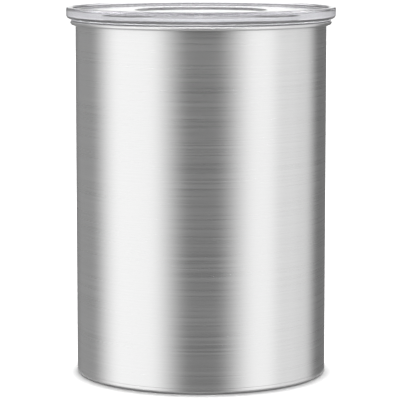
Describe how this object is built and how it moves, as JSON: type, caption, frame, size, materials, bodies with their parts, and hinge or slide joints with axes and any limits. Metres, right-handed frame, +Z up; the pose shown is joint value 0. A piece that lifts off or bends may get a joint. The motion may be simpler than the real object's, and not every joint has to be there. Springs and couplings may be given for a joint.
{
  "type": "vacuum seal canister",
  "caption": "Round brushed steel food canister with a rolled rim and a clear overhanging lid, over a sealed sliding plunger whose folding handle works a spring valve.",
  "frame": {"origin": "middle of the foot, on the surface that the canister stands on", "axes": "+Z up along the canister's axis; -Y faces the viewer of the picture and is the side that the folded handle lies on; +X to the viewer's right, along the handle's pivot"},
  "size_m": [0.13, 0.13, 0.1777],
  "materials": {
    "brushed_wall_steel": "fine brushing round the wall",
    "base_pan_steel": "pressed, dull satin",
    "clear_lid_plastic": "clear, polished moulding",
    "gasket_silicone": "translucent silicone",
    "plunger_plastic": "fine spark-eroded moulding",
    "wiper_silicone": "satin silicone",
    "cage_plastic": "smooth moulding",
    "handle_plastic": "satin moulding",
    "valve_silicone": "satin silicone",
    "stem_plastic": "natural acetal",
    "fastener_steel": "bright stainless"
  },
  "bodies": {
    "canister": {"canister_wall": "brushed_wall_steel", "base_pan": "base_pan_steel"},
    "outer_lid": {"outer_lid": "clear_lid_plastic", "outer_lid_gasket": "gasket_silicone"},
    "plunger": {"plunger_plate": "plunger_plastic", "wiper_seal": "wiper_silicone", "valve_cage": "cage_plastic", "cage_screws": "fastener_steel", "valve_spring": "fastener_steel", "right_handle_pin": "fastener_steel", "left_handle_pin": "fastener_steel"},
    "valve": {"valve_disc": "valve_silicone", "disc_washer": "fastener_steel", "valve_stem": "stem_plastic", "lift_bar": "stem_plastic", "stem_clip": "fastener_steel"},
    "handle": {"handle": "handle_plastic"}
  },
  "joints": [
    {"name": "outer_lid_lift", "type": "slide", "parent": "canister", "child": "outer_lid", "axis": [0, 0, 1], "range_m": [0, 0.12]},
    {"name": "plunger_slide", "type": "slide", "parent": "canister", "child": "plunger", "axis": [0, 0, 1], "range_m": [-0.1184, 0.002]},
    {"name": "handle_swing", "type": "hinge", "parent": "plunger", "child": "handle", "pos_m": [0, 0, 0.13], "axis": [-1, 0, 0], "range_deg": [0, 90]},
    {"name": "valve_lift", "type": "slide", "parent": "plunger", "child": "valve", "axis": [0, 0, 1], "range_m": [0, 0.002], "stiffness_N_per_m": 430, "springref_m": -0.003, "deforming": ["valve_spring"]}
  ],
  "couplings": [
    {"joint": "handle_swing", "follows": "valve_lift", "rad_per_m": 785.4}
  ]
}
